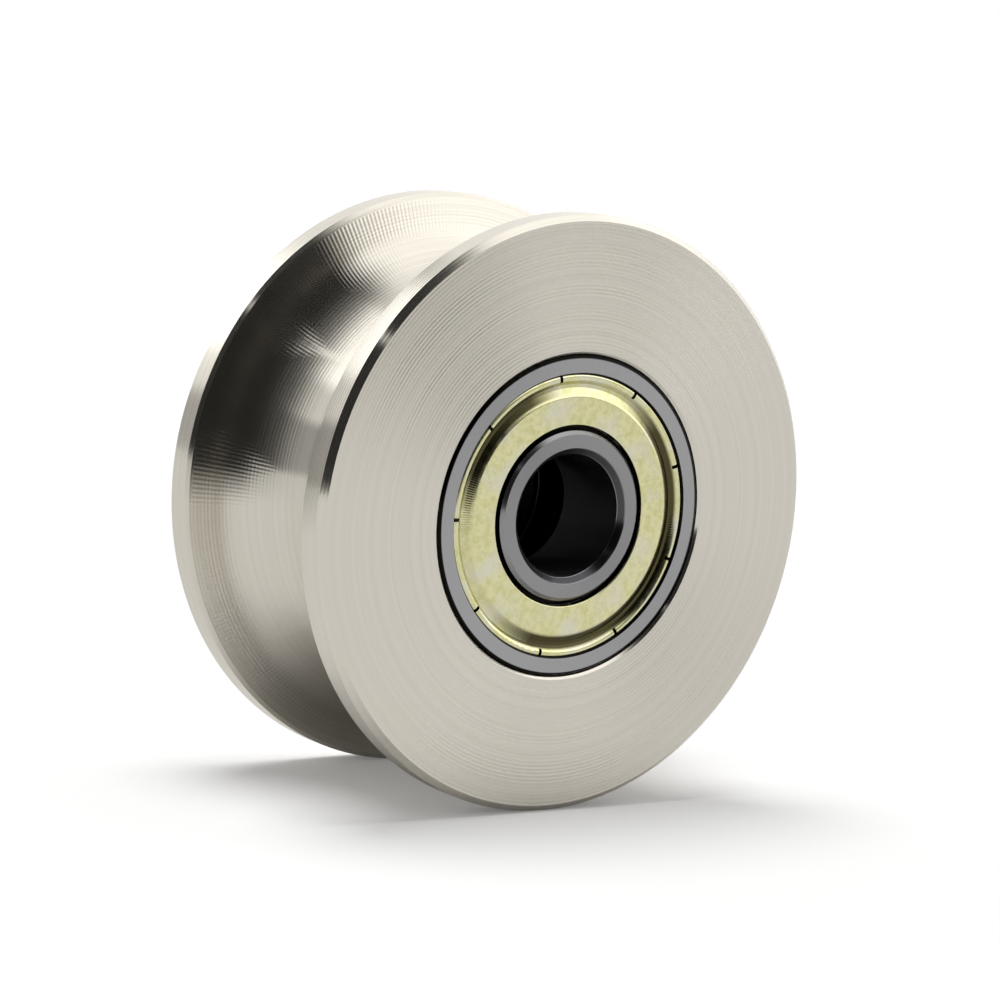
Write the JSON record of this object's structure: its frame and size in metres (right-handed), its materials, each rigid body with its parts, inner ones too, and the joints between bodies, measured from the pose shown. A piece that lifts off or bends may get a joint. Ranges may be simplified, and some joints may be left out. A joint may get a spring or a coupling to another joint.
{
  "type": "u-groove pulley wheel",
  "caption": "Turned steel pulley wheel with a wide round-bottomed rim groove and a shielded ball bearing pressed into each face, for running on a round rail, rope or pipe.",
  "frame": {"origin": "centre of the wheel, on the axle line, half way between its end faces", "axes": "+Z along the axle line, out of the front face; the wheel stands on its rear face"},
  "size_m": [0.048, 0.048, 0.022],
  "materials": {
    "wheel": "turned stainless steel with fine concentric tool marks",
    "bearing_ring": "ground bearing steel",
    "shield": "pressed sheet steel with a thin yellowish zinc plating",
    "cage": "pressed sheet steel, bare",
    "ball": "polished bearing steel"
  },
  "bodies": {
    "wheel": {"wheel_body": "wheel", "front_outer_ring": "bearing_ring", "front_face_shield": "shield", "front_inside_shield": "shield", "rear_outer_ring": "bearing_ring", "rear_face_shield": "shield", "rear_inside_shield": "shield"},
    "front_hub": {"front_inner_ring": "bearing_ring"},
    "front_cage": {"front_cage_face_half": "cage", "front_cage_inside_half": "cage", "front_cage_rivets": "cage"},
    "front_ball_1": {"front_ball_1": "ball"},
    "front_ball_2": {"front_ball_2": "ball"},
    "front_ball_3": {"front_ball_3": "ball"},
    "front_ball_4": {"front_ball_4": "ball"},
    "front_ball_5": {"front_ball_5": "ball"},
    "front_ball_6": {"front_ball_6": "ball"},
    "front_ball_7": {"front_ball_7": "ball"},
    "rear_hub": {"rear_inner_ring": "bearing_ring"},
    "rear_cage": {"rear_cage_face_half": "cage", "rear_cage_inside_half": "cage", "rear_cage_rivets": "cage"},
    "rear_ball_1": {"rear_ball_1": "ball"},
    "rear_ball_2": {"rear_ball_2": "ball"},
    "rear_ball_3": {"rear_ball_3": "ball"},
    "rear_ball_4": {"rear_ball_4": "ball"},
    "rear_ball_5": {"rear_ball_5": "ball"},
    "rear_ball_6": {"rear_ball_6": "ball"},
    "rear_ball_7": {"rear_ball_7": "ball"}
  },
  "joints": [
    {"name": "front_hub_turn", "type": "hinge", "parent": "wheel", "child": "front_hub", "pos_m": [0, 0, 0.0069], "axis": [0, 0, 1], "continuous": true},
    {"name": "front_cage_turn", "type": "hinge", "parent": "wheel", "child": "front_cage", "pos_m": [0, 0, 0.0069], "axis": [0, 0, 1], "continuous": true},
    {"name": "front_ball_1_spin", "type": "hinge", "parent": "front_cage", "child": "front_ball_1", "pos_m": [0.00883, 0.00172, 0.0069], "axis": [0, 0, 1], "continuous": true},
    {"name": "front_ball_2_spin", "type": "hinge", "parent": "front_cage", "child": "front_ball_2", "pos_m": [0.00417, 0.00798, 0.0069], "axis": [0, 0, 1], "continuous": true},
    {"name": "front_ball_3_spin", "type": "hinge", "parent": "front_cage", "child": "front_ball_3", "pos_m": [-0.00364, 0.00823, 0.0069], "axis": [0, 0, 1], "continuous": true},
    {"name": "front_ball_4_spin", "type": "hinge", "parent": "front_cage", "child": "front_ball_4", "pos_m": [-0.0087, 0.00229, 0.0069], "axis": [0, 0, 1], "continuous": true},
    {"name": "front_ball_5_spin", "type": "hinge", "parent": "front_cage", "child": "front_ball_5", "pos_m": [-0.00721, -0.00538, 0.0069], "axis": [0, 0, 1], "continuous": true},
    {"name": "front_ball_6_spin", "type": "hinge", "parent": "front_cage", "child": "front_ball_6", "pos_m": [-0.00029, -0.009, 0.0069], "axis": [0, 0, 1], "continuous": true},
    {"name": "front_ball_7_spin", "type": "hinge", "parent": "front_cage", "child": "front_ball_7", "pos_m": [0.00685, -0.00584, 0.0069], "axis": [0, 0, 1], "continuous": true},
    {"name": "rear_hub_turn", "type": "hinge", "parent": "wheel", "child": "rear_hub", "pos_m": [0, 0, -0.0069], "axis": [0, 0, 1], "continuous": true},
    {"name": "rear_cage_turn", "type": "hinge", "parent": "wheel", "child": "rear_cage", "pos_m": [0, 0, -0.0069], "axis": [0, 0, 1], "continuous": true},
    {"name": "rear_ball_1_spin", "type": "hinge", "parent": "rear_cage", "child": "rear_ball_1", "pos_m": [0.00771, -0.00464, -0.0069], "axis": [0, 0, 1], "continuous": true},
    {"name": "rear_ball_2_spin", "type": "hinge", "parent": "rear_cage", "child": "rear_ball_2", "pos_m": [0.00119, -0.00892, -0.0069], "axis": [0, 0, 1], "continuous": true},
    {"name": "rear_ball_3_spin", "type": "hinge", "parent": "rear_cage", "child": "rear_ball_3", "pos_m": [-0.00624, -0.00649, -0.0069], "axis": [0, 0, 1], "continuous": true},
    {"name": "rear_ball_4_spin", "type": "hinge", "parent": "rear_cage", "child": "rear_ball_4", "pos_m": [-0.00896, 0.00083, -0.0069], "axis": [0, 0, 1], "continuous": true},
    {"name": "rear_ball_5_spin", "type": "hinge", "parent": "rear_cage", "child": "rear_ball_5", "pos_m": [-0.00494, 0.00752, -0.0069], "axis": [0, 0, 1], "continuous": true},
    {"name": "rear_ball_6_spin", "type": "hinge", "parent": "rear_cage", "child": "rear_ball_6", "pos_m": [0.0028, 0.00855, -0.0069], "axis": [0, 0, 1], "continuous": true},
    {"name": "rear_ball_7_spin", "type": "hinge", "parent": "rear_cage", "child": "rear_ball_7", "pos_m": [0.00843, 0.00314, -0.0069], "axis": [0, 0, 1], "continuous": true}
  ],
  "couplings": [
    {"joint": "front_cage_turn", "follows": "front_hub_turn", "ratio": 0.36772},
    {"joint": "front_ball_1_spin", "follows": "front_hub_turn", "ratio": -1.7577},
    {"joint": "front_ball_2_spin", "follows": "front_hub_turn", "ratio": -1.7577},
    {"joint": "front_ball_3_spin", "follows": "front_hub_turn", "ratio": -1.7577},
    {"joint": "front_ball_4_spin", "follows": "front_hub_turn", "ratio": -1.7577},
    {"joint": "front_ball_5_spin", "follows": "front_hub_turn", "ratio": -1.7577},
    {"joint": "front_ball_6_spin", "follows": "front_hub_turn", "ratio": -1.7577},
    {"joint": "front_ball_7_spin", "follows": "front_hub_turn", "ratio": -1.7577},
    {"joint": "rear_cage_turn", "follows": "rear_hub_turn", "ratio": 0.36772},
    {"joint": "rear_ball_1_spin", "follows": "rear_hub_turn", "ratio": -1.7577},
    {"joint": "rear_ball_2_spin", "follows": "rear_hub_turn", "ratio": -1.7577},
    {"joint": "rear_ball_3_spin", "follows": "rear_hub_turn", "ratio": -1.7577},
    {"joint": "rear_ball_4_spin", "follows": "rear_hub_turn", "ratio": -1.7577},
    {"joint": "rear_ball_5_spin", "follows": "rear_hub_turn", "ratio": -1.7577},
    {"joint": "rear_ball_6_spin", "follows": "rear_hub_turn", "ratio": -1.7577},
    {"joint": "rear_ball_7_spin", "follows": "rear_hub_turn", "ratio": -1.7577}
  ]
}
